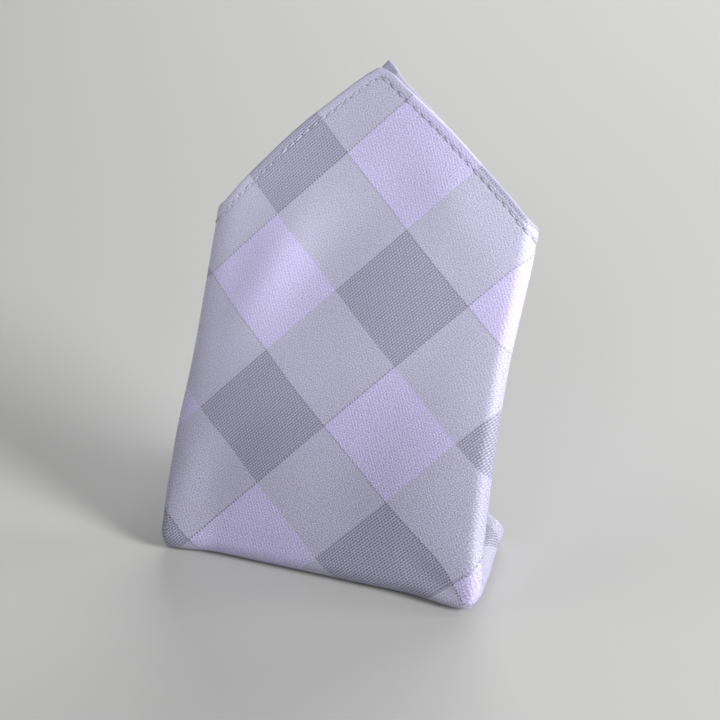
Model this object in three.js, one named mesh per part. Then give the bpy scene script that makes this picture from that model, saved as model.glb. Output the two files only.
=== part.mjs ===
/**
 * A folded pocket square: one hemmed satin square folded on its diagonal, its two sides
 * turned behind, and its lower end turned back into a foot, so that the front stands and
 * leans back. Millimetres, +Z up, the front facing -Y.
 *
 * The cloth is worked out flat first. There, "across" runs along the bottom fold and "up"
 * runs from it to the tip. A cross-section then wraps "across" round the side folds, and a
 * bend turns everything below the bottom fold back along the surface that it stands on.
 */
import * as THREE from "three";

const rad = THREE.MathUtils.degToRad;

// The cloth, and how closely its layers lie.
const CLOTH_SIDE = 300;
const SHEET = 1;
const LAYER_GAP = 0.3;
const PITCH = SHEET + LAYER_GAP;
const PAIR_HALF = (PITCH + SHEET) / 2; // half the thickness of two layers lying together

// Where the flat cloth lies: its front corner, how far it is turned, and its back corner.
const FRONT_TIP = { across: -3.1, up: 162.8 };
const BACK_TIP = { across: FRONT_TIP.across + 2.1, up: FRONT_TIP.up + 2.9 };
const CLOTH_TURN = rad(3);

// How far each half's hems swell outside their straight lines, at distances from the tip.
const HEM_SWELL = {
  front: [
    { at: 0, left: 0, right: 0 },
    { at: 5, left: 0.95, right: 2.3 },
    { at: 14, left: 1.8, right: 3.5 },
    { at: 28, left: 2.8, right: 5.4 },
    { at: 36, left: 2.95, right: 6.0 },
    { at: 46, left: 2.7, right: 6.5 },
    { at: 56, left: 2.3, right: 6.8 },
    { at: 64, left: 1.6, right: 6.5 },
    { at: 80, left: 0.6, right: 5.0 },
    { at: 110, left: 0, right: 2.5 },
    { at: 150, left: 0, right: 0 },
  ],
  back: [
    { at: 0, left: 0, right: 0.3 },
    { at: 9, left: 1.2, right: 0.1 },
    { at: 20, left: 2.0, right: 1.2 },
    { at: 36, left: 2.6, right: 2.6 },
    { at: 56, left: 2.0, right: 3.4 },
    { at: 64, left: 1.4, right: 3.1 },
    { at: 80, left: 0.5, right: 1.8 },
    { at: 110, left: 0, right: 0.5 },
    { at: 150, left: 0, right: 0 },
  ],
};

// The side folds: how far out they lie at each height, negative heights being on the foot.
const SIDE_FOLDS = [
  { at: -60, left: 53.0, right: 43.5 },
  { at: -40, left: 54.0, right: 44.8 },
  { at: -25, left: 54.8, right: 47.0 },
  { at: -10, left: 55.0, right: 49.4 },
  { at: 8, left: 55.2, right: 50.4 },
  { at: 22, left: 56.2, right: 49.0 },
  { at: 38, left: 56.0, right: 48.4 },
  { at: 62, left: 53.9, right: 48.3 },
  { at: 80, left: 53.0, right: 48.8 },
  { at: 100, left: 52.2, right: 50.4 },
  { at: 112, left: 51.6, right: 51.4 },
  { at: 130, left: 51.5, right: 51.5 },
];

// The bottom bend, and the foot that lies flat behind it.
const LEAN = rad(22);
const BEND_TURN = Math.PI / 2 + LEAN;
const BEND_RADIUS = 5; // of the outermost layer
const INNER_RADIUS = 0.8; // of the innermost one
const BUNDLE = 8 * PITCH; // the most layers that lie together, at the turned-back corner
const LAYERS_EVEN_OUT = 24; // past the bend, where all layers lie level again
const FOOT_CORNER = { left: 5, right: 7, reach: 14 }; // the foot's far corners are rounded off
const CROWN = { rise: 3, from: 8, to: 60, halfWidth: 53 }; // the front swells forwards
const CURL = { from: 50, over: 110, back: 4.5, aside: 0.36 }; // and above that curls back, leaning aside

// Steps in the mesh.
const STEPS = { turnedEdge: 6, bend: 6, foot: 4, front: 8 };

const clamp = THREE.MathUtils.clamp;
const smooth = THREE.MathUtils.smoothstep;

/** A table's value between its rows, on a smooth curve through them. */
function curveThrough(rows, name, where) {
  const last = rows.length - 1;
  const at = clamp(where, rows[0].at, rows[last].at);
  const i = Math.max(1, rows.findIndex((row) => row.at >= at));
  const [a, b] = [rows[i - 1], rows[i]];
  const [before, after] = [rows[Math.max(i - 2, 0)], rows[Math.min(i + 1, last)]];
  const span = b.at - a.at;
  const slopeA = ((b[name] - before[name]) / (b.at - before.at)) * span;
  const slopeB = ((after[name] - a[name]) / (after.at - a.at)) * span;
  const t = (at - a.at) / span;
  return (
    (2 * t ** 3 - 3 * t ** 2 + 1) * a[name] +
    (t ** 3 - 2 * t ** 2 + t) * slopeA +
    (3 * t ** 2 - 2 * t ** 3) * b[name] +
    (t ** 3 - t ** 2) * slopeB
  );
}

/** How far out a side fold lies at a height. */
const foldAt = (side, up) => curveThrough(SIDE_FOLDS, side, up);

// A fold of two layers lies this far inside the outermost face that it makes.
const SIDE_RADIUS = { left: PITCH, right: 2 * PITCH };
const flatEnd = (side, up) => foldAt(side, up) - SIDE_RADIUS[side] - PAIR_HALF;

// The flat cloth's two far corners, on the fold that joins its two halves.
const hemDirection = (side) => {
  const angle = -Math.PI / 2 + CLOTH_TURN + (side === "right" ? 1 : -1) * (Math.PI / 4);
  return { across: Math.cos(angle), up: Math.sin(angle) };
};
const FAR_CORNER = Object.fromEntries(
  ["left", "right"].map((side) => {
    const along = hemDirection(side);
    return [
      side,
      {
        across: FRONT_TIP.across + CLOTH_SIDE * along.across,
        up: FRONT_TIP.up + CLOTH_SIDE * along.up,
      },
    ];
  }),
);

// The cross-section, a row for each stretch from the front's middle outwards: its flat
// length, or the radius of the fold that it is, and the mesh's steps along it.
const tipColumn = (tip) => -tip.across / flatEnd("left", tip.up);
const spread = (from, to, steps) =>
  Array.from({ length: steps }, (_, i) => from + ((to - from) * (i + 1)) / steps);
const SECTION = {
  right: [
    { name: "front", length: (up) => flatEnd("right", up), at: spread(0, 1, 7) },
    { name: "side fold", radius: SIDE_RADIUS.right, at: spread(0, 1, 7) },
    {
      name: "wing",
      length: (up) => flatEnd("right", up) + flatEnd("left", up),
      at: spread(0, 1, 7),
    },
    { name: "corner fold", radius: PITCH, at: spread(0, 1, 6) },
    { name: "corner", toCloth: FAR_CORNER.right.across, at: spread(0, 1, 4) },
  ],
  left: [
    {
      name: "front",
      length: (up) => flatEnd("left", up),
      at: [tipColumn(BACK_TIP), tipColumn(FRONT_TIP), ...spread(tipColumn(FRONT_TIP), 1, 7)],
    },
    { name: "side fold", radius: SIDE_RADIUS.left, at: spread(0, 1, 6) },
    {
      name: "wing",
      length: (up) => flatEnd("left", up) + flatEnd("right", up) - SHEET,
      at: spread(0, 1, 6),
    },
  ],
};

/** Where the cross-section is, part way along one stretch, at one height. */
function sectionAt(side, stretch, part, up) {
  let [x, depth, across, heading] = [0, 0, 0, 1];
  for (const row of SECTION[side]) {
    const share = row.name === stretch ? part : 1;
    let normal = [0, heading];
    if (row.radius) {
      const angle = Math.PI * share;
      x += heading * row.radius * Math.sin(angle);
      depth += row.radius * (1 - Math.cos(angle));
      across += row.radius * angle;
      normal = [-Math.sin(angle), heading * Math.cos(angle)];
      heading = -heading;
    } else {
      const length = row.toCloth ? row.toCloth - across : row.length(up);
      x += heading * length * share;
      across += length * share;
    }
    if (row.name === stretch) {
      const sign = side === "right" ? 1 : -1;
      const [normalX, normalDepth] = [sign * normal[0], normal[1]];
      return { x: sign * x, depth, across: sign * across, normalX, normalDepth };
    }
  }
  throw new Error("no such stretch: " + stretch);
}

/** The height of a half's hem over a place across the flat cloth, near a height on it. */
function hemAt(half, across, up) {
  const tip = half === "front" ? FRONT_TIP : BACK_TIP;
  const side = across < tip.across ? "left" : "right";
  const corner = FAR_CORNER[side];
  const hem = hemDirection(side);
  const share = (across - tip.across) / (corner.across - tip.across);
  const along = (across - tip.across) * hem.across + (up - tip.up) * hem.up;
  const swell = curveThrough(HEM_SWELL[half], side, along);
  return THREE.MathUtils.lerp(tip.up, corner.up, share) + swell / Math.abs(hem.across);
}

/** The height of the far fold, which joins the two halves at the foot's end. */
function farFoldAt(x) {
  const [l, r] = [FAR_CORNER.left, FAR_CORNER.right];
  const straight = l.up + ((r.up - l.up) * (x - l.across)) / (r.across - l.across);
  const side = x < 0 ? "left" : "right";
  const edge = foldAt(side, straight);
  return straight + FOOT_CORNER[side] * smooth(Math.abs(x), edge - FOOT_CORNER.reach, edge);
}

/** Repeats a height until it agrees with the place that the height itself moves. */
function settle(start, next) {
  let up = start;
  for (let round = 0; round < 30; round++) up = next(up);
  return up;
}

/** Turns a place in the cross-section into space: up the leaning front, or along the foot. */
function bendToSpace(x, depth, up) {
  const radius = THREE.MathUtils.lerp(BEND_RADIUS, INNER_RADIUS, clamp(depth / BUNDLE, 0, 1));
  const reach = Math.tan(BEND_TURN / 2);
  const outerEnd = reach * BEND_RADIUS;
  const outerArc = BEND_RADIUS * BEND_TURN;
  const end = reach * (depth + radius); // the bend's end on each leg, from the outer corner
  const evened = (past) => outerEnd + past + (end - outerEnd) * (1 - smooth(past, 0, LAYERS_EVEN_OUT));
  const onFront = (own, inner) => [
    Math.sin(LEAN) * own + Math.cos(LEAN) * inner,
    Math.cos(LEAN) * own - Math.sin(LEAN) * inner,
  ];
  if (up >= outerEnd) {
    const own = evened(up - outerEnd);
    const sideways = clamp(Math.abs(x) / CROWN.halfWidth, 0, 1);
    const crown = CROWN.rise * smooth(own, CROWN.from, CROWN.to) * (1 - sideways ** 2);
    const curled = CURL.back * (Math.max(own - CURL.from, 0) / CURL.over) ** 2;
    return new THREE.Vector3(x - CURL.aside * curled, ...onFront(own, depth - crown + curled));
  }
  if (up <= outerEnd - outerArc) return new THREE.Vector3(x, evened(outerEnd - outerArc - up), depth);
  const [centreY, centreZ] = onFront(end, depth + radius);
  const angle = Math.PI - LEAN + (BEND_TURN * (outerEnd - up)) / outerArc;
  return new THREE.Vector3(x, centreY + radius * Math.cos(angle), centreZ + radius * Math.sin(angle));
}

/** The mesh's columns, from the left wing's end, round the front, to the right corner. */
function columns() {
  const list = [];
  for (const side of ["left", "right"]) {
    const made = SECTION[side].flatMap((row) => row.at.map((part) => ({ side, stretch: row.name, part })));
    if (side === "left") list.push(...made.reverse(), { side, stretch: "front", part: 0 });
    else list.push(...made);
  }
  return list;
}

/** One column's points on one face, from the front half's hem, round the far fold, to the back's. */
function columnPoints(column, faceOffset) {
  const { side, stretch, part } = column;
  const at = (up) => sectionAt(side, stretch, part, up);
  const far = settle(FRONT_TIP.up, (up) => farFoldAt(at(up).x));
  const low = stretch === "corner" ? THREE.MathUtils.lerp(far, FAR_CORNER.right.up, part) : far;
  const offset = PITCH / 2 + faceOffset;
  const bendTop = Math.tan(BEND_TURN / 2) * BEND_RADIUS;
  const bendLow = bendTop - BEND_RADIUS * BEND_TURN;
  const heights = (half) => {
    const hem = Math.max(low, settle(FRONT_TIP.up, (up) => hemAt(half, at(up).across, up)));
    const fixed = [
      ...spread(low, bendLow, STEPS.foot),
      ...spread(bendLow, bendTop, STEPS.bend),
      bendTop + LAYERS_EVEN_OUT / 3,
      bendTop + (2 * LAYERS_EVEN_OUT) / 3,
      bendTop + LAYERS_EVEN_OUT,
    ].map((up) => clamp(up, low, hem));
    return [low, ...fixed, ...spread(Math.min(fixed.at(-1), hem), hem, STEPS.front)];
  };
  const point = (up, across) => {
    const s = at(up);
    return bendToSpace(s.x + s.normalX * across, s.depth + s.normalDepth * across + PAIR_HALF, up);
  };
  const turned = spread(0, Math.PI, STEPS.turnedEdge).slice(0, -1);
  return [
    ...heights("front").reverse().map((up) => point(up, -offset)),
    ...turned.map((angle) => point(low - offset * Math.sin(angle), -offset * Math.cos(angle))),
    ...heights("back").map((up) => point(up, offset)),
  ];
}

/** A closed geometry from two like grids of points and the four edges between them. */
function thickSheet(outer, inner) {
  const position = [];
  const index = [];
  const seen = new Map();
  const vertex = (p) => {
    const key = [p.x, p.y, p.z].map((v) => Math.round(v * 1e3)).join();
    if (!seen.has(key)) {
      seen.set(key, position.length / 3);
      position.push(p.x, p.y, p.z);
    }
    return seen.get(key);
  };
  const triangle = (a, b, c) => {
    if (a !== b && b !== c && c !== a) index.push(a, b, c);
  };
  const quad = (p, q, r, s) => {
    const [a, b, c, d] = [p, q, r, s].map(vertex);
    triangle(a, b, c);
    triangle(a, c, d);
  };
  const lastColumn = outer.length - 1;
  const lastRow = outer[0].length - 1;
  for (let i = 0; i < lastColumn; i++)
    for (let j = 0; j < lastRow; j++) {
      quad(outer[i][j], outer[i][j + 1], outer[i + 1][j + 1], outer[i + 1][j]);
      quad(inner[i][j], inner[i + 1][j], inner[i + 1][j + 1], inner[i][j + 1]);
    }
  for (let i = 0; i < lastColumn; i++) {
    quad(outer[i][0], outer[i + 1][0], inner[i + 1][0], inner[i][0]);
    quad(outer[i][lastRow], inner[i][lastRow], inner[i + 1][lastRow], outer[i + 1][lastRow]);
  }
  for (let j = 0; j < lastRow; j++) {
    quad(outer[0][j], inner[0][j], inner[0][j + 1], outer[0][j + 1]);
    quad(outer[lastColumn][j], outer[lastColumn][j + 1], inner[lastColumn][j + 1], inner[lastColumn][j]);
  }
  const geometry = new THREE.BufferGeometry();
  geometry.setAttribute("position", new THREE.Float32BufferAttribute(position, 3));
  geometry.setIndex(index);
  return geometry;
}

/** The folded cloth, one sheet with a front and a back half. */
function foldedCloth() {
  const list = columns();
  const outer = list.map((column) => columnPoints(column, SHEET / 2));
  const inner = list.map((column) => columnPoints(column, -SHEET / 2));
  const geometry = thickSheet(outer, inner);
  geometry.computeVertexNormals();
  const satin = new THREE.MeshStandardMaterial({ color: 0xb9b2cf, roughness: 0.45, metalness: 0 });
  const mesh = new THREE.Mesh(geometry, satin);
  mesh.name = "folded_cloth";
  return mesh;
}

/** Stands the part on z = 0 with the middle of its box over the origin. */
function standAtOrigin(group) {
  const box = new THREE.Box3().setFromObject(group);
  const middle = box.getCenter(new THREE.Vector3());
  group.position.set(-middle.x, -middle.y, -box.min.z);
  return group;
}

const pocketSquare = new THREE.Group();
pocketSquare.add(foldedCloth());

export default standAtOrigin(pocketSquare);
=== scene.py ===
"""Looks for a folded pocket square: a satin square folded to a point that stands on its turned-back end.

The cloth is worked out flat first, in millimetres. "across" runs along the bottom fold and "up" runs
from it to the tip. section() wraps across round the side folds, and bend() turns everything below the
bottom fold back along the floor. The cloth's own two directions, along its hems, are s1 and s2.
"""

import bmesh
import bpy
import numpy as np
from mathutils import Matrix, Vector


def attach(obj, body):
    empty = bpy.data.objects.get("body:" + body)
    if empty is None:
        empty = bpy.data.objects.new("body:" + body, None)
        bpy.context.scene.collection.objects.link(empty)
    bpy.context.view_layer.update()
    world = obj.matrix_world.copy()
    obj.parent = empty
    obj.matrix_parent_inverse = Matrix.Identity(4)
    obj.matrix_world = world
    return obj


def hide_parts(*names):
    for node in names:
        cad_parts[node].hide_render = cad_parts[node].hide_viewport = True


bl_info = {
    "name": "Folded Pocket Square",
    "version": (1, 0, 0),
    "blender": (4, 5, 0),
    "location": "3D View > Sidebar > Pocket Square",
    "description": "Makes a satin check pocket square, folded to a point and standing",
    "category": "Add Mesh",
}

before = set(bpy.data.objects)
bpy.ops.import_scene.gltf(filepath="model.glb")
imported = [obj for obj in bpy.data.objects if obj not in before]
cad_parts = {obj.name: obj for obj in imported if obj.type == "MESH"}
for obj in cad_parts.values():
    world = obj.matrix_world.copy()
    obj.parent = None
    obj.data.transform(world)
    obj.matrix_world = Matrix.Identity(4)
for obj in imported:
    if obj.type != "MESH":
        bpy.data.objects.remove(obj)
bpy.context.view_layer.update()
NODE = "folded_cloth"
BODY = "root"

MM = 0.001
ROW_SHIFT = np.array([2.7450, -34.3224, 0.0])  # from the bottom fold's own origin to the row frame

# The cloth, and how closely its layers lie.
CLOTH_SIDE = 300.0
CAD_SHEET = 1.0
PITCH = 1.3
PAIR_HALF = (PITCH + CAD_SHEET) / 2

# Where the flat cloth lies: its front corner, its back corner, and how far it is turned.
FRONT_TIP = np.array([-3.1, 162.8])
BACK_TIP = FRONT_TIP + np.array([2.1, 2.9])
TIPS = {"front": FRONT_TIP, "back": BACK_TIP}
CLOTH_TURN = np.radians(3)

# How far each hem swells outside its straight line: distance from the tip, then the front half's left
# and right hems and the back half's.
HEM_SWELL = np.array(
    [
        (0.0, 0.0, 0.0, -0.4, -0.4),
        (2.5, 0.5, 1.5, -0.5, 0.2),
        (5.0, 0.95, 2.3, -1.2, 0.1),
        (9.0, 1.4, 2.8, -1.5, 0.1),
        (14.0, 1.8, 3.5, -1.3, 0.5),
        (20.0, 2.2, 4.4, -0.8, 1.2),
        (28.0, 2.8, 5.4, 0.2, 2.0),
        (36.0, 2.95, 6.0, 1.0, 2.6),
        (46.0, 2.7, 6.5, 1.6, 3.0),
        (56.0, 2.3, 6.8, 2.0, 3.4),
        (64.0, 1.6, 6.5, 1.4, 3.1),
        (80.0, 0.6, 5.0, 0.5, 1.8),
        (110.0, 0.0, 2.5, 0.0, 0.5),
        (150.0, 0.0, 0.0, 0.0, 0.0),
    ]
)
SWELL_COLUMN = {("front", "left"): 1, ("front", "right"): 2, ("back", "left"): 3, ("back", "right"): 4}

# The hem's profile: where its thickness ends about the seam, how the seam pinches it, and how its
# edge is rounded down to a share of its thickness.
HEM_ENDS_BEFORE, HEM_ENDS_AFTER = 0.7, 0.5
SEAM_PINCH, SEAM_HALF_WIDTH = 0.10, 0.5
EDGE_ROUNDING, EDGE_LEAST = 0.55, 0.25

# How far out the side folds lie: height, left, right.
SIDE_FOLDS = np.array(
    [
        (-60, 53.0, 43.5),
        (-40, 54.0, 44.8),
        (-25, 54.8, 47.0),
        (-10, 55.0, 49.6),
        (3, 55.2, 50.4),
        (10, 55.4, 49.5),
        (22, 56.2, 48.8),
        (38, 56.0, 48.4),
        (62, 53.9, 48.3),
        (80, 53.0, 48.8),
        (100, 52.2, 50.4),
        (112, 51.6, 51.4),
        (130, 51.5, 51.5),
    ]
)
SIDE_RADIUS = {"left": PITCH, "right": 2 * PITCH}

# The outer side folds are pressed to an edge beyond their half circles. The right one is pressed more
# between two heights at its corner, and squared there.
EDGE_PRESSED, EDGE_SHARPNESS = 0.4, 8
CORNER_PRESSED, CORNER_SQUARED = 0.5, 0.6
CORNER_BELOW, CORNER_ABOVE = (-8.0, 2.0), (6.0, 34.0)

# The bottom bend, and the foot behind it.
LEAN = np.radians(22)
BEND_TURN = np.pi / 2 + LEAN
BEND_RADIUS = 5.0
INNER_RADIUS = 0.8
BUNDLE = 8 * PITCH
LAYERS_EVEN_OUT = 24.0
FOOT_CORNER = {"left": 5.0, "right": 7.0}
FOOT_REACH = 14.0
CROWN_RISE, CROWN_FROM, CROWN_TO, CROWN_HALF_WIDTH = 3.2, 8.0, 60.0, 53.0

# Above the crown the front curls back, and as it does so leans aside.
CURL_FROM, CURL_OVER, CURL_BACK, CURL_ASIDE = 50.0, 110.0, 5.0, 0.36

# The front rolls back towards its side folds: width of the roll, and how far back. It does so in full
# at this height above the bend.
SIDE_ROLL = {"left": (8.0, 1.5), "right": (30.0, 2.4)}
SIDE_ROLL_FULL = 24.0

# The bottom bend is pressed to a point at the right end, which lifts, and it comes forward at the left
# end.
RIGHT_POINT_RADIUS, RIGHT_POINT_FROM, RIGHT_POINT_TO = 1.7, 26.0, 47.0
RIGHT_END_LIFT, RIGHT_END_FROM, RIGHT_END_TO, RIGHT_END_REACH = 1.2, 27.0, 50.0, 30.0
LEFT_END_FORWARD, LEFT_END_FROM, LEFT_END_TO = 2.4, 36.0, 52.0
LEFT_END_ABOVE, LEFT_END_BELOW = (0.0, 32.0), (4.0, 30.0)

# The right end draws the weave outwards and down as well: how far, growing across the front, and
# between which heights. Both stop where the front does.
DRAWN_OUT, OUT_ACROSS, OUT_ABOVE = 3.2, (4.0, 42.0), (8.0, 52.0)
DRAWN_DOWN, DOWN_ACROSS, DOWN_BELOW, DOWN_ABOVE = 4.0, (34.0, 50.0), (-22.0, -4.0), (4.0, 30.0)
FRONT_STOPS = 60.0

# Over this height above the far fold, the back half's weave eases into its own place.
BACK_WEAVE_EASE = 60.0

# Soft troughs (negative) and ridges on the front: across, up, direction in degrees, half length,
# half width, rise.
CREASES = (
    (-30.0, 95.0, 66.0, 24.0, 8.5, 1.7),
    (-4.0, 112.0, 48.0, 26.0, 10.0, -0.9),
    (6.0, 40.0, 75.0, 34.0, 13.0, -1.0),
    (-38.0, 34.0, 60.0, 22.0, 9.0, -1.0),
    (-28.0, 56.0, 40.0, 26.0, 11.0, 1.0),
    (26.0, 78.0, 80.0, 40.0, 12.0, -0.8),
    (24.0, 128.0, 132.0, 24.0, 9.0, 0.7),
)

# They come in with height above the bend, and go out with depth and towards the sides.
CREASE_HEIGHTS, CREASE_DEPTHS, CREASE_SIDES = (8.0, 24.0), (2.5, 6.0), (40.0, 52.0)

# The crease over each bottom corner: two points on it as (across, up), how steeply the cloth turns
# under below it, and where that begins and is full.
CORNER_CREASES = (
    ((30.4, 17.6), (51.0, 2.0), 0.22, 22.0, 40.0),
    ((-57.0, 13.0), (-43.0, 2.0), 0.22, -34.0, -48.0),
)
CORNER_CREASE_SOFTNESS = 0.5
CORNER_CREASE_DEPTHS, CORNER_CREASE_HEIGHTS = (5.0, 11.0), (0.0, 6.0)


def smooth(value, low, high):
    """Eases from 0 at low to 1 at high: 3 t squared less 2 t cubed."""
    t = np.clip((value - low) / (high - low), 0, 1)
    return t * t * (3 - 2 * t)


def curve_through(table, column, at):
    """A smooth curve through a table's rows: cubics whose slope at a row is that between its neighbours."""
    rows, value = table[:, 0], table[:, column]
    at = np.clip(at, rows[0], rows[-1])
    i = np.clip(np.searchsorted(rows, at), 1, len(rows) - 1)
    before, after = np.maximum(i - 2, 0), np.minimum(i + 1, len(rows) - 1)
    span = rows[i] - rows[i - 1]
    slope_a = (value[i] - value[before]) / (rows[i] - rows[before]) * span
    slope_b = (value[after] - value[i - 1]) / (rows[after] - rows[i - 1]) * span
    t = (at - rows[i - 1]) / span
    return (
        (2 * t**3 - 3 * t**2 + 1) * value[i - 1]
        + (t**3 - 2 * t**2 + t) * slope_a
        + (3 * t**2 - 2 * t**3) * value[i]
        + (t**3 - t**2) * slope_b
    )


def fold_at(side, up):
    """How far out a side fold lies at a height."""
    return curve_through(SIDE_FOLDS, 1 if side == "left" else 2, up)


def flat_end(side, up):
    """Where the flat front ends and its side fold begins."""
    return fold_at(side, up) - SIDE_RADIUS[side] - PAIR_HALF


def hem_direction(side):
    """The way down a hem from the tip, as (across, up): 45 degrees either side of straight down."""
    angle = -np.pi / 2 + CLOTH_TURN + (1 if side == "right" else -1) * np.pi / 4
    return np.array([np.cos(angle), np.sin(angle)])


HEM = {side: hem_direction(side) for side in ("left", "right")}
FAR_CORNER = {side: FRONT_TIP + CLOTH_SIDE * HEM[side] for side in HEM}


def stretches(side, up):
    """The cross-section from the front's middle outwards: each stretch's length, and a fold's radius."""
    ends = flat_end("left", up) + flat_end("right", up)
    front = flat_end(side, up)
    fold = (np.pi * SIDE_RADIUS[side], SIDE_RADIUS[side])
    if side == "left":
        return [(front, 0), fold, (ends - CAD_SHEET, 0)]
    rows = [(front, 0), fold, (ends, 0), (np.pi * PITCH, PITCH)]
    return [*rows, (FAR_CORNER["right"][0] - sum(length for length, _ in rows), 0)]


def across_at(station, up):
    """Distance across the flat cloth. Station 2.3 is 0.3 along the third stretch, -2.3 so on the left."""
    total = 0
    for side, mine in (("left", station < 0), ("right", station >= 0)):
        for i, (length, _) in enumerate(stretches(side, up)):
            total = total + mine * length * np.clip(np.abs(station) - i, 0, 1)
    return np.where(station < 0, -total, total)


def pressed(side, up):
    """How far an outer side fold is pressed beyond its half circle, and the power that squares it."""
    corner = smooth(up, *CORNER_BELOW) * (1 - smooth(up, *CORNER_ABOVE)) if side == "right" else 0
    return EDGE_PRESSED + CORNER_PRESSED * corner, 1 - CORNER_SQUARED * corner


def section(across, up):
    """Wraps across round the side folds: straight runs, and half circles that turn the heading round.

    In a half circle x is r sin(turn) and depth r (1 - cos(turn)), and the outer ones are pressed.
    Returns x, depth and the normal (x, depth) that the cloth's layers are offset along."""
    across, up = np.broadcast_arrays(across, up)
    out = np.zeros((4, *across.shape))
    for side, sign in (("left", -1), ("right", 1)):
        far = sign * across
        rows = stretches(side, up)
        at_x, at_depth, start, heading = 0.0, 0.0, 0.0, 1
        for i, (length, radius) in enumerate(rows):
            here = (far >= start) & ((far < start + length) | (i == len(rows) - 1))
            run = np.where(here, far - start, 0)
            if radius:
                turn = run / radius
                sine = np.clip(np.sin(turn), 0, 1)
                edge, power = pressed(side, up) if i == 1 else (0, 1)
                squared = sine ** np.where(turn < np.pi / 2, power, 1)
                x = at_x + heading * radius * squared + edge * sine**EDGE_SHARPNESS
                depth = at_depth + radius * (1 - np.cos(turn))
                normal = (-np.sin(turn), heading * np.cos(turn))
            else:
                x = at_x + heading * run
                depth = at_depth + 0 * run
                normal = (0 * run, heading + 0 * run)
                at_x = at_x + heading * length
            here = here & (far >= 0)
            out = np.where(here, np.stack([sign * x, depth, sign * normal[0], normal[1]]), out)
            start = start + length
            if radius:
                at_depth += 2 * radius
                heading = -heading
    return out


def relief(x, up):
    """The front's own soft creases: each a bell along its length times a bell across its width."""
    total = 0
    for centre_x, centre_up, angle, half_length, half_width, rise in CREASES:
        turn = np.radians(angle)
        dx, du = x - centre_x, up - centre_up
        along = (dx * np.cos(turn) + du * np.sin(turn)) / half_length
        aside = (du * np.cos(turn) - dx * np.sin(turn)) / half_width
        total = total + rise * np.exp(-(along**2) - aside**2)
    return total


def turned_under(x, up):
    """How far the front recedes below the crease at each bottom corner: its slope times the way past
    it, eased by (past + sqrt(past squared + softness)) / 2."""
    back = 0
    for (at_x, at_up), (to_x, to_up), slope, fade_from, fade_to in CORNER_CREASES:
        run = np.hypot(to_x - at_x, to_up - at_up)
        aside_x, aside_up = (to_up - at_up) / run, -(to_x - at_x) / run
        past = (x - at_x) * aside_x + (up - at_up) * aside_up
        past = 0.5 * (past + np.sqrt(past**2 + CORNER_CREASE_SOFTNESS))
        back = back + slope * past * smooth(x, fade_from, fade_to)
    return back


def side_roll(x, up):
    """How far back the front rolls near its sides: the square of the way into the roll."""
    back = 0
    for side, sign in (("left", -1), ("right", 1)):
        width, most = SIDE_ROLL[side]
        into = np.clip((sign * x - (fold_at(side, up) - width)) / width, 0, 1)
        back = back + most * into**2
    return back


def behind_flat(x, depth, up, own, past_front):
    """How far the front lies behind its own flat plane: its rolled sides and turned corners, less its
    crown, a parabola across the front, and its soft creases."""
    crown = CROWN_RISE * smooth(own, CROWN_FROM, CROWN_TO)
    crown = crown * (1 - np.clip(np.abs(x) / CROWN_HALF_WIDTH, 0, 1) ** 2)
    free = smooth(own, *CREASE_HEIGHTS) * (1 - smooth(depth, *CREASE_DEPTHS))
    free = free * (1 - smooth(np.abs(x), *CREASE_SIDES))
    rolled = smooth(past_front, 0, SIDE_ROLL_FULL) * side_roll(x, up)
    under = turned_under(x, up) * smooth(past_front, *CORNER_CREASE_HEIGHTS)
    under = under * (1 - smooth(depth, *CORNER_CREASE_DEPTHS))
    return rolled + under - crown - free * relief(x, up)


def bend(x, depth, up):
    """Up the leaning front, round an arc, or back along the foot, in millimetres.

    The arc's radius shrinks with depth, so the inner layers turn more tightly and then even out. At
    the right end the arc is tighter still, and the foot goes back by the length that this saves."""
    pointed = smooth(x, RIGHT_POINT_FROM, RIGHT_POINT_TO)
    outer = BEND_RADIUS + (RIGHT_POINT_RADIUS - BEND_RADIUS) * pointed
    radius = outer + (INNER_RADIUS - outer) * np.clip(depth / BUNDLE, 0, 1)
    reach = np.tan(BEND_TURN / 2)
    outer_end = reach * outer
    outer_arc = outer * BEND_TURN
    end = reach * (depth + radius)
    past_front = up - outer_end
    past_foot = outer_end - outer_arc - up

    def evened(past):
        past = np.maximum(past, 0)
        return outer_end + past + (end - outer_end) * (1 - smooth(past, 0, LAYERS_EVEN_OUT))

    def on_front(own, inner):
        return np.sin(LEAN) * own + np.cos(LEAN) * inner, np.cos(LEAN) * own - np.sin(LEAN) * inner

    own = evened(past_front)
    curled = CURL_BACK * (np.maximum(own - CURL_FROM, 0) / CURL_OVER) ** 2
    front = on_front(own, depth + behind_flat(x, depth, up, own, past_front) + curled)
    centre = on_front(end, depth + radius)
    angle = np.pi - LEAN - BEND_TURN * np.clip(past_front / outer_arc, -1, 0)
    arc = (centre[0] + radius * np.cos(angle), centre[1] + radius * np.sin(angle))
    y = np.where(past_front >= 0, front[0], np.where(past_foot >= 0, evened(past_foot), arc[0]))
    z = np.where(past_front >= 0, front[1], np.where(past_foot >= 0, depth, arc[1]))

    ahead = smooth(-x, LEFT_END_FROM, LEFT_END_TO)
    ahead = ahead * (1 - smooth(up, *LEFT_END_ABOVE)) * (1 - smooth(-up, *LEFT_END_BELOW))
    saved = (2 * reach - BEND_TURN) * (BEND_RADIUS - outer)
    from_bend = np.maximum(past_front, 0) + np.maximum(past_foot, 0)
    lifted = smooth(x, RIGHT_END_FROM, RIGHT_END_TO) * (1 - smooth(from_bend, 0, RIGHT_END_REACH))
    y = y - LEFT_END_FORWARD * ahead + saved * smooth(past_foot, 0, LAYERS_EVEN_OUT)
    z = z + RIGHT_END_LIFT * lifted
    return np.stack([x - CURL_ASIDE * np.where(past_front >= 0, curled, 0), y, z], -1)


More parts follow.
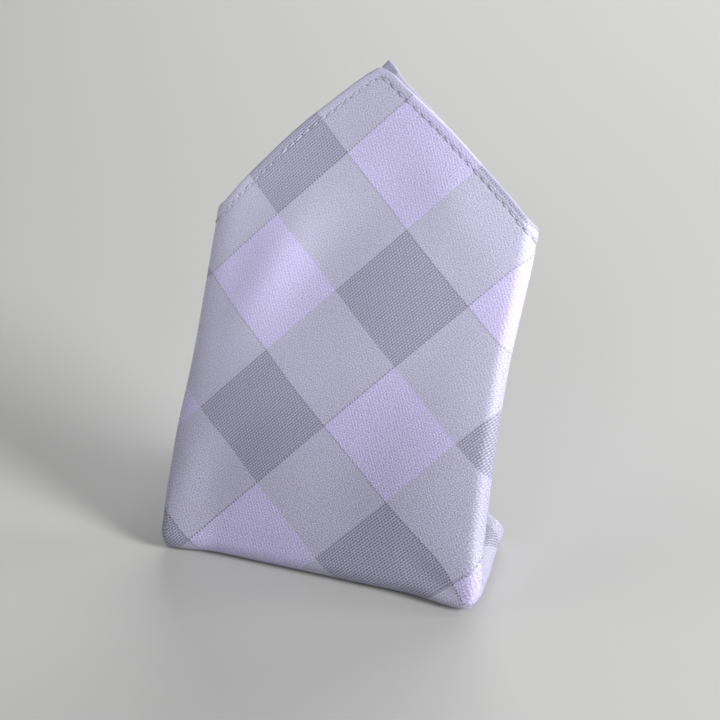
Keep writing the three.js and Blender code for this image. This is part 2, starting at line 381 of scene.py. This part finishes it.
def place(across, up, offset):
    """A point of the folded cloth, in metres in the row frame. offset is across its two layers."""
    x, depth, normal_x, normal_depth = section(across, up)
    points = bend(x + normal_x * offset, depth + normal_depth * offset + PAIR_HALF, up)
    return (points + ROW_SHIFT) * MM


def swell(half, side, along):
    """How far a hem lies outside its straight line, at a distance along it from the tip."""
    return curve_through(HEM_SWELL, SWELL_COLUMN[half, side], along)


def hem_height(half, across, up):
    """The height of a half's hem: the straight line from its tip to the far corner, and its swell."""
    tip, height = TIPS[half], 0
    s1, s2 = cloth_coordinates(across, up, tip)
    for side, along, mine in (("left", s2, across < tip[0]), ("right", s1, across >= tip[0])):
        corner = FAR_CORNER[side]
        line = tip[1] + (corner[1] - tip[1]) * (across - tip[0]) / (corner[0] - tip[0])
        height = height + mine * (line + swell(half, side, along) / abs(HEM[side][0]))
    return height


def far_fold_height(x):
    """The height of the fold that joins the two halves, rounded up at the foot's corners."""
    left, right = FAR_CORNER["left"], FAR_CORNER["right"]
    straight = left[1] + (right[1] - left[1]) * (x - left[0]) / (right[0] - left[0])
    rounded = straight
    for side, mine in (("left", x < 0), ("right", x >= 0)):
        edge = fold_at(side, straight)
        rounded = rounded + mine * FOOT_CORNER[side] * smooth(np.abs(x), edge - FOOT_REACH, edge)
    return rounded


def settle(start, following):
    """Repeats a height until it agrees with the place that the height itself moves."""
    up = start
    for _ in range(30):
        up = following(up)
    return up


def cloth_coordinates(across, up, tip):
    """Distances along the right and left hem directions from a tip, s1 and s2."""
    d_across, d_up = across - tip[0], up - tip[1]
    return tuple(d_across * HEM[side][0] + d_up * HEM[side][1] for side in ("right", "left"))


def from_cloth(s1, s2, tip):
    """The way back from s1 and s2 to across and up."""
    return tuple(tip[i] + s1 * HEM["right"][i] + s2 * HEM["left"][i] for i in (0, 1))


def hem_distances(half, s1, s2):
    """How far a point lies inside a half's left hem and inside its right hem."""
    return s1 + swell(half, "left", s2), s2 + swell(half, "right", s1)


def half_thickness(from_left, from_right, sizes):
    """Half the sheet's thickness: full in the turned hem, pinched at its seam, rounded at its edge."""
    near = np.minimum(from_left, from_right)
    ply, hem = sizes.ply / MM / 2, sizes.hem_thickness / MM / 2
    seam = sizes.hem_width / MM
    inside = 1 - smooth(near, seam - HEM_ENDS_BEFORE, seam + HEM_ENDS_AFTER)
    pinch = SEAM_PINCH * np.exp(-(((near - seam) / SEAM_HALF_WIDTH) ** 2))
    edge = np.sqrt(np.clip(1 - (1 - np.clip(near / EDGE_ROUNDING, 0, 1)) ** 2, 0, 1))
    return (ply + (hem - ply) * inside - pinch) * (EDGE_LEAST + (1 - EDGE_LEAST) * edge)


def add_mesh(name, vertices, faces, material, uv=None):
    """Links a mesh object from whole arrays: vertices in metres, quads, and UV layers per vertex."""
    mesh = bpy.data.meshes.new(name)
    mesh.from_pydata([], [], [])
    mesh.vertices.add(len(vertices))
    mesh.vertices.foreach_set("co", np.asarray(vertices, np.float32).ravel())
    mesh.loops.add(faces.size)
    mesh.loops.foreach_set("vertex_index", faces.ravel().astype(np.int32))
    mesh.polygons.add(len(faces))
    mesh.polygons.foreach_set("loop_start", np.arange(0, faces.size, faces.shape[1], dtype=np.int32))
    mesh.update(calc_edges=True)
    for layer, values in (uv or {}).items():
        data = mesh.uv_layers.new(name=layer).data
        data.foreach_set("uv", np.asarray(values, np.float32)[faces.ravel()].ravel())
    mesh.polygons.foreach_set("use_smooth", np.ones(len(mesh.polygons), bool))
    mesh.materials.append(material)
    made = bpy.data.objects.new(name, mesh)
    bpy.context.scene.collection.objects.link(made)
    return made


def merge_doubles(mesh, turn_out=False):
    """Joins points that lie in one place, takes out faces without area, and turns normals outwards."""
    shape = bmesh.new()
    shape.from_mesh(mesh)
    bmesh.ops.remove_doubles(shape, verts=shape.verts, dist=2e-6)
    bmesh.ops.dissolve_degenerate(shape, edges=shape.edges, dist=1e-6)
    if turn_out:
        bmesh.ops.recalc_face_normals(shape, faces=shape.faces)
    shape.to_mesh(mesh)
    shape.free()


def grid_faces(rows, columns, first=0):
    """Quads of a grid whose points run along the columns first."""
    at = first + np.arange(rows * columns).reshape(rows, columns)
    return np.stack([at[:-1, :-1], at[:-1, 1:], at[1:, 1:], at[1:, :-1]], -1).reshape(-1, 4)


def steps(low, high, count):
    """Even steps from low to high, without low itself, as one more axis."""
    share = np.arange(1, count + 1) / count
    return low[..., None] + (high - low)[..., None] * share


def stations():
    """Where the mesh's columns stand, from the left wing's end round the front to the right corner."""
    tips = [tip[0] / flat_end("left", tip[1]) for tip in (FRONT_TIP, BACK_TIP)]
    left = [np.linspace(-3, -2, 15), np.linspace(-2, -1, 9), np.linspace(-1, 0, 42), tips]
    right = [np.linspace(0, 1, 42), np.linspace(1, 2, 11), np.linspace(2, 3, 19)]
    corner = [np.linspace(3, 4, 7), np.linspace(4, 5, 8)]
    return np.unique(np.concatenate([*left, *right, *corner]).round(6))


# Distances in from the hem that have rows of their own, and how much further down a column they lie.
HEM_ROWS = np.array([0, 0.12, 0.3, 0.55, 0.9, 1.5, 2.2, 2.9, 3.4, 3.8, 4.2, 4.7, 5.3, 6.2, 7.4])
HEM_SLOPE = 1.4

# How many rows each half has on the foot, round the bend, where the layers even out, and above.
ROW_COUNTS = {"front": (22, 14, 14, 84), "back": (16, 10, 8, 34)}


def column_heights(station, half, low):
    """One half's rows in every column, from the far fold to the hem: foot, bend, front and hem."""
    foot_rows, bend_rows, even_rows, front_rows = ROW_COUNTS[half]
    bend_top = np.tan(BEND_TURN / 2) * BEND_RADIUS + 0 * low
    bend_low = bend_top - BEND_RADIUS * BEND_TURN
    top = TIPS[half][1] + 0 * low
    hem = np.maximum(low, settle(top, lambda up: hem_height(half, across_at(station, up), up)))
    rows = [
        low[:, None],
        steps(low, bend_low, foot_rows),
        steps(bend_low, bend_top, bend_rows),
        steps(bend_top, bend_top + LAYERS_EVEN_OUT, even_rows),
    ]
    fixed = np.clip(np.concatenate(rows, 1), low[:, None], hem[:, None])
    last = fixed[:, -1]
    below = hem[:, None] - HEM_ROWS[None, ::-1] * HEM_SLOPE
    below = np.maximum(below, last[:, None])
    front = steps(last, below[:, 0], front_rows)
    return np.concatenate([fixed, front, below[:, 1:]], 1)


def weave_drawn(across, up):
    """How far the weave is drawn outwards, and how far down, at the bottom's right end."""
    on_front = across < FRONT_STOPS
    out = DRAWN_OUT * smooth(across, *OUT_ACROSS) * (1 - smooth(up, *OUT_ABOVE))
    down = DRAWN_DOWN * smooth(across, *DOWN_ACROSS) * (1 - smooth(up, *DOWN_ABOVE))
    return out * on_front, down * smooth(up, *DOWN_BELOW) * on_front


def weave_of_back(s1, s2, across, up, low):
    """The back half's place in the weave: it mirrors its own, and meets the front's at the far fold."""
    own = smooth(up - low, 0, BACK_WEAVE_EASE)
    front = cloth_coordinates(across, 2 * low - up, FRONT_TIP)
    mirrored = (CLOTH_SIDE - s2, CLOTH_SIDE - s1)
    return tuple(m - (1 - own) * (m[:, :1] - f[:, :1]) for m, f in zip(mirrored, front))


def sheet_arrays(sizes):
    """Both faces of the cloth as grids: the front half from its hem down to the far fold, a half
    circle round that fold, and the back half up to its own hem."""
    station = stations()
    column = station[:, None]

    def far_fold(up):
        return far_fold_height(section(across_at(station, up), up)[0])

    far = settle(FRONT_TIP[1] + 0 * station, far_fold)
    low = np.where(station > 4, far + (FAR_CORNER["right"][1] - far) * (station - 4), far)
    front_up = column_heights(station, "front", low)[:, ::-1]
    back_up = column_heights(station, "back", low)
    low = low[:, None]
    turn = np.linspace(0, np.pi, 8)[1:-1]
    faces = {}
    for face in (-1, 1):
        parts, flats, hems = [], [], []
        for name, up, sign in (("front", front_up, -1), ("back", back_up, 1)):
            across = across_at(column, up)
            out, down = weave_drawn(across, up)
            s1, s2 = cloth_coordinates(across - out, up + down, TIPS[name])
            inside = hem_distances(name, s1, s2)
            half = np.where(up - low < 1e-6, sizes.ply / MM / 2, half_thickness(*inside, sizes))
            parts.append(place(across, up, sign * (PITCH / 2 + face * half)))
            if name == "back":
                s1, s2 = weave_of_back(s1, s2, across, up, low)
            flats.append(np.stack([s1, s2], -1) / CLOTH_SIDE)
            hems.append(np.stack(inside, -1) / CLOTH_SIDE)
        reach = PITCH / 2 + face * sizes.ply / MM / 2
        up = low - reach * np.sin(turn)
        edge = place(across_at(column, low) + 0 * up, up, -reach * np.cos(turn))
        count = (1, len(turn), 1)
        parts.insert(1, edge)
        flats.insert(1, np.tile(flats[0][:, -1:], count))
        hems.insert(1, np.tile(hems[0][:, -1:], count))
        faces[face] = [np.concatenate(group, 1) for group in (parts, flats, hems)]
    return faces


def make_cloth(sizes, right_side, wrong_side):
    """One closed sheet: its two faces, and a strip along each of the four edges between them."""
    faces = sheet_arrays(sizes)
    rows, columns = faces[1][0].shape[:2]
    outer = grid_faces(rows, columns)
    inner = grid_faces(rows, columns, rows * columns)[:, ::-1]
    at = np.arange(rows * columns).reshape(rows, columns)
    rims = []
    for line, turned in ((at[0], 0), (at[-1], 1), (at[:, 0], 1), (at[:, -1], 0)):
        rim = np.stack([line[:-1], line[:-1] + rows * columns, line[1:] + rows * columns, line[1:]], -1)
        rims.append(rim[:, ::-1] if turned else rim)
    quads = np.concatenate([outer, inner, *rims])
    both = zip(faces[1], faces[-1])
    points, flat, hem = (np.concatenate([a.reshape(-1, a.shape[-1]) for a in pair]) for pair in both)
    cloth = add_mesh("satin_square", points, quads, right_side, {"Cloth": flat, "Hem": hem})
    cloth.data.materials.append(wrong_side)
    faced = np.zeros(len(quads), np.int32)
    faced[len(outer) : len(outer) + len(inner)] = 1
    cloth.data.polygons.foreach_set("material_index", faced)
    merge_doubles(cloth.data)
    return cloth


class Graph:
    """Short names for making a material's nodes."""

    def __init__(self, name):
        self.material = bpy.data.materials.new(name)
        self.material.use_nodes = True
        self.tree = self.material.node_tree
        self.shader = self.tree.nodes["Principled BSDF"]

    def node(self, kind, inputs=(), **settings):
        made = self.tree.nodes.new(kind)
        for key, value in settings.items():
            setattr(made, key, value)
        for key, value in dict(inputs).items():
            self.put(made.inputs[key], value)
        return made

    def put(self, socket, value):
        if isinstance(value, bpy.types.NodeSocket):
            self.tree.links.new(value, socket)
        else:
            socket.default_value = value

    def math(self, operation, *values):
        inputs = dict(enumerate(values))
        return self.node("ShaderNodeMath", inputs, operation=operation).outputs[0]

    def mix(self, factor, a, b):
        inputs = {0: factor, 6: a, 7: b}
        return self.node("ShaderNodeMix", inputs, data_type="RGBA").outputs[2]

    def between(self, factor, a, b):
        return self.node("ShaderNodeMix", {0: factor, 2: a, 3: b}, data_type="FLOAT").outputs[0]

    def ease(self, value, low, high):
        inputs = {0: value, 1: low, 2: high, 3: 0.0, 4: 1.0}
        kind = "ShaderNodeMapRange"
        return self.node(kind, inputs, interpolation_type="SMOOTHSTEP").outputs[0]

    def wave(self, value, pitch):
        turns = self.math("MULTIPLY", value, 2 * np.pi / pitch)
        return self.math("MULTIPLY_ADD", self.math("SINE", turns), 0.5, 0.5)

    def grain(self, s1, s2, size, detail, seed):
        scaled = [self.math("MULTIPLY", s, 1 / size) for s in (s1, s2)]
        vector = self.node("ShaderNodeCombineXYZ", {0: scaled[0], 1: scaled[1], 2: seed})
        inputs = {"Vector": vector.outputs[0], "Scale": 1.0, "Detail": detail, "Roughness": 0.6}
        return self.node("ShaderNodeTexNoise", inputs).outputs[0]

    def millimetres(self, layer):
        uv = self.node("ShaderNodeUVMap", uv_map=layer).outputs[0]
        scaled = self.node("ShaderNodeVectorMath", {0: uv, 1: (CLOTH_SIDE,) * 3}, operation="MULTIPLY")
        apart = self.node("ShaderNodeSeparateXYZ", {0: scaled.outputs[0]})
        return apart.outputs[0], apart.outputs[1]


# The checks' side, where the first one begins along s1 and s2, and the width of their dotted edges.
CHECK = 30.0
CHECK_START = (13.4, 24.8)
CHECK_EDGE = 0.30

# The weave's own lattice, in turns per millimetre along s1 and s2: ribs, the slanting rows that the
# floats line up in, and the rows that cross them. Its rows wander, and its grain is fine.
RIBS, FLOATS, CROSSING = (1.246, 0.0), (-0.456, 0.95), (0.798, 0.934)
WANDER, WANDER_SIZE, GRAIN, GRAIN_SIZE = 2.2, 2.6, 6.0, 0.46

# How strongly each weave shows its ribs, its slanting floats, the rows that cross them and its grain.
WEAVES = {
    "mixed": (0.24, 0.22, 0.16, 0.95),
    "slate": (0.80, 0.38, 0.26, 0.60),
    "slate_reverse": (0.20, 0.16, 0.12, 0.60),
    "lavender": (0.24, 0.38, 0.18, 1.00),
}
EDGE_SMOOTH = 1.2

# Painted light: the colour is darkest low down and grows lighter up the cloth, more so on its left,
# standing in for the light that falls on the top and the sheen on the left. It also varies at random in
# soft patches.
SHADE_LEAST, SHADE_PATCHES, PATCH_SIZE = 0.712, 0.12, 38.0
PAINTED_LIGHT_UP, PAINTED_LIGHT_UP_LEFT, UP_OVER, LEFT_OVER = 0.385, 0.20, (250.0, 40.0), (0.0, 48.0)

# How much the weave's height changes it, on slate and elsewhere: painted highlight on the weave's raised
# rows and painted shade between them, along with its grain. Then what the dotted lines where two checks
# meet take from it, and the painted shade in the needle holes and the seam's trough.
WEAVE_PAINTED_SHADE_AND_GRAIN, SLATE_WEAVE_PAINTED_SHADE_AND_GRAIN = 0.22, 0.34
DOTS_DARK, HOLES_PAINTED_SHADE, TROUGH_PAINTED_SHADE = 0.45, 0.38, 0.16
DOT_PITCH = (1.06, 0.8)

# The seam: half the widths of its trough and of its needle holes, half a hole's length, and depths in
# the weave's own height.
TROUGH_HALF, HOLE_HALF_WIDTH, HOLE_HALF_LENGTH = 0.9, 0.32, 0.42
HOLES_DEEP, TROUGH_DEEP = 2.0, 1.5


def checks(g, value, start):
    """Whether a point is on an odd check along one direction, and whether it is on a check's edge."""
    turns = g.math("MULTIPLY_ADD", value, 0.5 / CHECK, 2 - start * 0.5 / CHECK)
    edge = g.math("PINGPONG", g.math("ADD", value, 4 * CHECK - start), CHECK)
    return g.math("GREATER_THAN", g.math("FRACT", turns), 0.5), g.math("LESS_THAN", edge, CHECK_EDGE)


def weave_heights(g, s1, s2, kinds):
    """The height of each kind of weave: its rows as sines of s1 and s2, and its grain."""
    wander = g.math("MULTIPLY", g.grain(s1, s2, WANDER_SIZE, 1.0, 5.0), WANDER)
    fine = g.math("MULTIPLY_ADD", g.grain(s1, s2, GRAIN_SIZE, 1.5, 9.0), GRAIN, -GRAIN / 2)
    rows = []
    for per_s1, per_s2 in (RIBS, FLOATS, CROSSING):
        turns = g.math("MULTIPLY_ADD", s2, per_s2 * 2 * np.pi, wander)
        rows.append(g.math("SINE", g.math("MULTIPLY_ADD", s1, per_s1 * 2 * np.pi, turns)))
    heights = []
    for kind in kinds:
        total = 0.0
        for row, strength in zip((*rows, fine), WEAVES[kind]):
            total = g.math("MULTIPLY_ADD", row, strength, total)
        heights.append(total)
    return heights


def seam_marks(g, sizes, s1, s2, from_left, from_right):
    """The seam's needle holes, two at each stitch, and the shallow trough beside the hem, as masks for
    their dents and for the painted shade in them.
    """
    near = g.math("MINIMUM", from_left, from_right)
    seam = g.math("ABSOLUTE", g.math("SUBTRACT", near, sizes.hem_width / MM))
    along = g.between(g.math("LESS_THAN", from_left, from_right), s1, s2)
    from_stitch = g.math("PINGPONG", along, sizes.stitch_pitch / MM / 2)
    in_row = g.math("LESS_THAN", seam, HOLE_HALF_WIDTH)
    holes = g.math("MULTIPLY", in_row, g.math("LESS_THAN", from_stitch, HOLE_HALF_LENGTH))
    return holes, g.math("SUBTRACT", 1.0, g.ease(seam, 0.0, TROUGH_HALF))


def satin_check(name, sizes, colours):
    """Satin jacquard: slate ribs, lavender satin and a mixed ground, with hems and needle holes, and
    painted light and shade in its colour.
    """
    g = Graph(name)
    wrong_side = name == "satin_reverse"
    s1, s2 = g.millimetres("Cloth")
    from_left, from_right = g.millimetres("Hem")
    odd1, edge1 = checks(g, s1, CHECK_START[0])
    odd2, edge2 = checks(g, s2, CHECK_START[1])
    is_slate = g.math("MULTIPLY", odd1, g.math("SUBTRACT", 1.0, odd2))
    is_lavender = g.math("MULTIPLY", odd2, g.math("SUBTRACT", 1.0, odd1))

    kinds = ("mixed", "slate_reverse" if wrong_side else "slate", "lavender")
    ground, ribbed, satin = weave_heights(g, s1, s2, kinds)
    height = g.between(is_lavender, g.between(is_slate, ground, ribbed), satin)
    near = g.math("MINIMUM", from_left, from_right)
    height = g.math("MULTIPLY", height, g.ease(near, 0.0, EDGE_SMOOTH))

    slate, lavender = (colours.reverse,) * 2 if wrong_side else (colours.slate, colours.lavender)
    colour = g.mix(is_slate, (*colours.mixed, 1), (*slate, 1))
    colour = g.mix(is_lavender, colour, (*lavender, 1))

    # Painted light: lighter up the cloth, and more so up its left side. The soft patches are random tone.
    painted_light_up = g.ease(g.math("ADD", s1, s2), *UP_OVER)
    painted_light_left = g.ease(g.math("SUBTRACT", s2, s1), *LEFT_OVER)
    painted_light_growth = g.math("MULTIPLY_ADD", painted_light_left, PAINTED_LIGHT_UP_LEFT, PAINTED_LIGHT_UP)
    tone_and_painted_light = g.math("MULTIPLY_ADD", g.grain(s1, s2, PATCH_SIZE, 1.0, 3.0), SHADE_PATCHES, SHADE_LEAST)
    tone_and_painted_light = g.math("MULTIPLY_ADD", painted_light_up, painted_light_growth, tone_and_painted_light)
    # Painted highlight on the weave's raised rows and painted shade between them, with its grain.
    tone_and_painted_light = g.math("MULTIPLY_ADD", height, g.between(is_slate, WEAVE_PAINTED_SHADE_AND_GRAIN, SLATE_WEAVE_PAINTED_SHADE_AND_GRAIN), tone_and_painted_light)
    for edge, along, pitch in ((edge1, s2, DOT_PITCH[0]), (edge2, s1, DOT_PITCH[1])):
        dots = g.math("MULTIPLY", edge, g.wave(along, pitch))
        tone_and_painted_light = g.math("MULTIPLY_ADD", dots, -DOTS_DARK, tone_and_painted_light)

    depth = height
    holes, trough = seam_marks(g, sizes, s1, s2, from_left, from_right)
    # Painted shade in the needle holes and the seam's trough, which the bump dents as well.
    for mark, dark, deep in ((holes, HOLES_PAINTED_SHADE, HOLES_DEEP), (trough, TROUGH_PAINTED_SHADE, TROUGH_DEEP)):
        tone_and_painted_light = g.math("MULTIPLY_ADD", mark, -dark, tone_and_painted_light)
        depth = g.math("MULTIPLY_ADD", mark, -deep, depth)

    tint = g.node("ShaderNodeVectorMath", {0: colour, 3: tone_and_painted_light}, operation="SCALE").outputs[0]
    bump = g.node("ShaderNodeBump", {"Strength": 0.38, "Distance": 0.00012, "Height": depth})
    g.put(g.shader.inputs["Base Color"], tint)
    g.put(g.shader.inputs["Normal"], bump.outputs[0])
    g.put(g.shader.inputs["Roughness"], g.between(is_slate, 0.40, 0.50))
    g.shader.inputs["Specular IOR Level"].default_value = 0.55
    g.shader.inputs["Sheen Weight"].default_value = 0.14
    g.shader.inputs["Sheen Roughness"].default_value = 0.45
    return g.material


def thread_material(colours):
    """Sewing thread: a fine mottle between the thread's colour and a darker one."""
    g = Graph("sewing_thread")
    point = g.node("ShaderNodeTexCoord").outputs["Object"]
    inputs = {"Vector": point, "Scale": 2600.0, "Detail": 1.0}
    noise = g.node("ShaderNodeTexNoise", inputs).outputs[0]
    dark = tuple(c * 0.7 for c in colours.thread)
    g.put(g.shader.inputs["Base Color"], g.mix(noise, (*dark, 1), (*colours.thread, 1)))
    g.shader.inputs["Roughness"].default_value = 0.5
    g.shader.inputs["Sheen Weight"].default_value = 0.2
    return g.material


# Stitches are left out this near to the far fold and the side ends. Deeper ones than the outer layers'
# are left out this near to the bend too, where the layers are pressed together.
CLEAR_OF_FOLD, CLEAR_OF_ENDS = 1.5, 1.0
OUTER_DEPTH, PRESSED_WITHIN = 1.5, 13.0

# A stitch: its rings and their sides, half its thickness, how thin and how blunt its ends are, and how
# far its middle stands out and its ends dip.
STITCH_RINGS, STITCH_SIDES = 7, 6
THREAD_HALF, THREAD_END, THREAD_BLUNT = 0.22, 0.25, 0.3
STITCH_ARCH, STITCH_DIP = 0.16, 0.06

# How much the stitches vary in place, length, offset and slant, and how near a row comes to a corner.
STITCH_VARIES = (0.1, 0.16, 0.12, 0.06)
ROW_STOPS = 6.0


def on_cloth(across, up):
    """Which stitches lie on the folded sheet: above the far fold, within its two side ends, and not
    pressed flat between its layers in the bottom bend."""
    ends = [across_at(np.full_like(up, station), up) for station in (-3.0, 5.0)]
    x, depth = section(across, up)[:2]
    loose = (depth < OUTER_DEPTH) | (np.abs(up) > PRESSED_WITHIN)
    between_ends = (across > ends[0] + CLEAR_OF_ENDS) & (across < ends[1] - CLEAR_OF_ENDS)
    return (between_ends & (up > far_fold_height(x) + CLEAR_OF_FOLD) & loose).all(axis=(1, 2))


def stitch_faces(count, first):
    """The sides and both ends of a number of beads, as quads. first is their first point's number."""
    size = STITCH_RINGS * STITCH_SIDES
    at = first + np.arange(count * size).reshape(count, STITCH_RINGS, STITCH_SIDES)
    beside = np.roll(at, -1, axis=2)
    tube = np.stack([at[:, :-1], at[:, 1:], beside[:, 1:], beside[:, :-1]], -1).reshape(-1, 4)
    ends = (at[:, 0], at[:, -1, ::-1])
    halves = ((0, 1, 2, 3), (3, 4, 5, 0))
    return [tube, *(end[:, half] for half in halves for end in ends)]


def make_stitches(sizes, material):
    """Every hem stitch as one joined mesh: a short bead that dips into the cloth at both its ends."""
    pitch, length, seam = (v / MM for v in (sizes.stitch_pitch, sizes.stitch_length, sizes.hem_width))
    random = np.random.default_rng(7)
    share = np.linspace(-0.5, 0.5, STITCH_RINGS)[None, :, None]
    around = np.linspace(0, 2 * np.pi, STITCH_SIDES, endpoint=False)
    thick = THREAD_HALF * np.maximum((1 - (2 * share) ** 2) ** THREAD_BLUNT, THREAD_END)
    arch = STITCH_ARCH * np.cos(np.pi * share) - STITCH_DIP
    points, quads = [], []
    for name, sign in (("front", -1), ("back", 1)):
        for side in ("right", "left"):
            middle = np.arange(seam + 0.5 * pitch, CLOTH_SIDE - ROW_STOPS, pitch)
            moved, longer, aside, slant = (random.normal(0, v, len(middle)) for v in STITCH_VARIES)
            middle, size, aside, slant = (
                a[:, None, None] for a in (middle + moved, length * (1 + longer), aside, slant)
            )
            along = middle + size * share
            across_hem = seam + aside + thick * np.cos(around) + slant * share * 2
            inside = across_hem - swell(name, side, along)
            s1, s2 = (along, inside) if side == "right" else (inside, along)
            s1, s2 = np.broadcast_arrays(s1, s2)
            across, up = from_cloth(s1, s2, TIPS[name])
            half = half_thickness(*hem_distances(name, s1, s2), sizes)
            lift = half + arch + thick * np.sin(around)
            placed = place(across, up, sign * (PITCH / 2 + lift))[on_cloth(across, up)]
            quads += stitch_faces(len(placed), sum(len(p) for p in points))
            points.append(placed.reshape(-1, 3))
    stitches = add_mesh("hem_stitches", np.concatenate(points), np.concatenate(quads), material)
    merge_doubles(stitches.data, turn_out=True)
    return stitches


def length_setting(name, description, default):
    """A length, in metres."""
    return bpy.props.FloatProperty(name=name, description=description, default=default, unit="LENGTH")


def colour_setting(name, description, default):
    """A colour."""
    kind = {"subtype": "COLOR", "default": default}
    return bpy.props.FloatVectorProperty(name=name, description=description, **kind)


class ClothSizes(bpy.types.PropertyGroup):
    """Sizes of the cloth and its sewing."""

    ply: length_setting("Cloth thickness", "Thickness of one layer of the satin", 0.0006)
    hem_width: length_setting("Hem width", "From the edge to the hem's seam", 0.0029)
    hem_thickness: length_setting("Hem thickness", "Thickness of the turned hem", 0.0011)
    stitch_pitch: length_setting("Stitch pitch", "From one hem stitch to the next", 0.0033)
    stitch_length: length_setting("Stitch length", "Length of thread that shows", 0.0024)


class ClothColours(bpy.types.PropertyGroup):
    """Colours of the satin's checks and of its thread."""

    lavender: colour_setting("Lavender", "Satin checks", (0.515, 0.474, 0.730))
    mixed: colour_setting("Pale grey lavender", "The ground between the checks", (0.442, 0.427, 0.580))
    slate: colour_setting("Slate grey", "Ribbed checks", (0.316, 0.308, 0.426))
    reverse: colour_setting("Reverse", "The checks seen on the wrong side", (0.66, 0.64, 0.75))
    thread: colour_setting("Thread", "Hem stitches", (0.58, 0.55, 0.66))


class StageSettings(bpy.types.PropertyGroup):
    """The floor and the lights."""

    floor: colour_setting("Floor", "Colour of the pale floor", (0.472, 0.472, 0.464))
    light_power: bpy.props.FloatProperty(
        name="Lights", description="Power of all the softboxes", default=100.0, unit="POWER"
    )


class POCKETSQUARE_OT_cloth(bpy.types.Operator):
    """Makes the folded satin square, with its hems"""

    bl_idname = "pocket_square.cloth"
    bl_label = "Folded Satin Square"

    def execute(self, context):
        sizes, colours = context.scene.cloth_sizes, context.scene.cloth_colours
        sides = (satin_check(name, sizes, colours) for name in ("satin_check", "satin_reverse"))
        cloth = make_cloth(sizes, *sides)
        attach(cloth, BODY)
        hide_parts(NODE)
        return {"FINISHED"}


class POCKETSQUARE_OT_stitches(bpy.types.Operator):
    bl_idname = "pocket_square.stitches"
    bl_label = "Hem Stitches"

    def execute(self, context):
        scene = context.scene
        stitches = make_stitches(scene.cloth_sizes, thread_material(scene.cloth_colours))
        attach(stitches, BODY)
        return {"FINISHED"}


# The camera: the point it looks at, its azimuth and elevation in degrees, its distance and its lens.
CAMERA_AIM = (0.01614, -0.03433, 0.0841)
CAMERA_AZIMUTH, CAMERA_ELEVATION = 21.4, 29.6
CAMERA_DISTANCE, CAMERA_LENS = 1.0, 167.25

# The floor's half side and roughness, and the point that the softboxes face.
FLOOR_HALF, FLOOR_ROUGHNESS = 3.0, 0.6
LIGHTS_AIM = (0, 0, 0.06)

# Each softbox: where it stands, its width and height, and its share of the power.
SOFTBOXES = {
    "right_softbox": ((1.9, -0.45, 0.85), (0.6, 0.6), 0.520),
    "right_back_softbox": ((1.7, 0.8, 0.8), (0.6, 0.6), 0.115),
    "low_softbox": ((1.6, -0.2, 0.35), (0.4, 0.4), 0.070),
    "back_softbox": ((0.0, 2.2, 0.7), (2.5, 1.2), 0.53),
    "front_softbox": ((0.15, -1.4, 1.1), (0.8, 0.8), 0.060),
    "left_softbox": ((-0.9, -0.4, 0.5), (0.8, 0.8), 0.034),
}


def softbox(name, place_at, aim, size, power):
    """An area light that faces a point."""
    light = bpy.data.lights.new(name, "AREA")
    light.shape, light.size, light.size_y, light.energy = "RECTANGLE", size[0], size[1], power
    made = bpy.data.objects.new(name, light)
    bpy.context.scene.collection.objects.link(made)
    made.location = place_at
    made.visible_camera = False
    made.rotation_euler = (made.location - aim).to_track_quat("Z", "Y").to_euler()
    return made


class POCKETSQUARE_OT_stage(bpy.types.Operator):
    """Makes the pale floor, the soft lights and the camera"""

    bl_idname = "pocket_square.stage"
    bl_label = "Stage"

    def execute(self, context):
        scene = context.scene
        stage = scene.stage_settings
        g = Graph("pale_floor")
        g.shader.inputs["Base Color"].default_value = (*stage.floor, 1)
        g.shader.inputs["Roughness"].default_value = FLOOR_ROUGHNESS
        corners = FLOOR_HALF * np.array([(-1, -1, 0), (1, -1, 0), (1, 1, 0), (-1, 1, 0)], float)
        floor = add_mesh("floor", corners, np.array([[0, 1, 2, 3]]), g.material)
        for name, (place_at, size, share) in SOFTBOXES.items():
            softbox(name, Vector(place_at), Vector(LIGHTS_AIM), size, share * stage.light_power)
        world = bpy.data.worlds.new("dark_room")
        world.use_nodes = True
        world.node_tree.nodes["Background"].inputs["Strength"].default_value = 0
        scene.world = world
        scene.view_settings.view_transform = "Standard"
        camera = bpy.data.objects.new("camera", bpy.data.cameras.new("camera"))
        scene.collection.objects.link(camera)
        camera.data.sensor_width = 36.0
        camera.data.lens = CAMERA_LENS
        turn, rise = np.radians(CAMERA_AZIMUTH), np.radians(CAMERA_ELEVATION)
        back = Vector((np.sin(turn) * np.cos(rise), -np.cos(turn) * np.cos(rise), np.sin(rise)))
        camera.location = Vector(CAMERA_AIM) + CAMERA_DISTANCE * back
        camera.rotation_euler = back.to_track_quat("Z", "Y").to_euler()
        scene.camera = camera
        return {"FINISHED"}


class POCKETSQUARE_PT_panel(bpy.types.Panel):
    """Lists the pocket square's settings and steps"""

    bl_label = "Pocket Square"
    bl_space_type = "VIEW_3D"
    bl_region_type = "UI"
    bl_category = "Pocket Square"

    def draw(self, context):
        for group in GROUPS:
            box = self.layout.box()
            settings = getattr(context.scene, group)
            for name in settings.bl_rna.properties.keys()[2:]:
                box.prop(settings, name)
        for operator in OPERATORS:
            self.layout.operator(operator.bl_idname)


GROUPS = {"cloth_sizes": ClothSizes, "cloth_colours": ClothColours, "stage_settings": StageSettings}
OPERATORS = (POCKETSQUARE_OT_cloth, POCKETSQUARE_OT_stitches, POCKETSQUARE_OT_stage)
CLASSES = (*GROUPS.values(), *OPERATORS, POCKETSQUARE_PT_panel)


def register():
    for cls in CLASSES:
        bpy.utils.register_class(cls)
    for name, cls in GROUPS.items():
        setattr(bpy.types.Scene, name, bpy.props.PointerProperty(type=cls))


def unregister():
    for name in GROUPS:
        delattr(bpy.types.Scene, name)
    for cls in reversed(CLASSES):
        bpy.utils.unregister_class(cls)


def main():
    register()
    bpy.ops.pocket_square.stage()
    bpy.ops.pocket_square.cloth()
    bpy.ops.pocket_square.stitches()


if __name__ == "__main__":
    main()
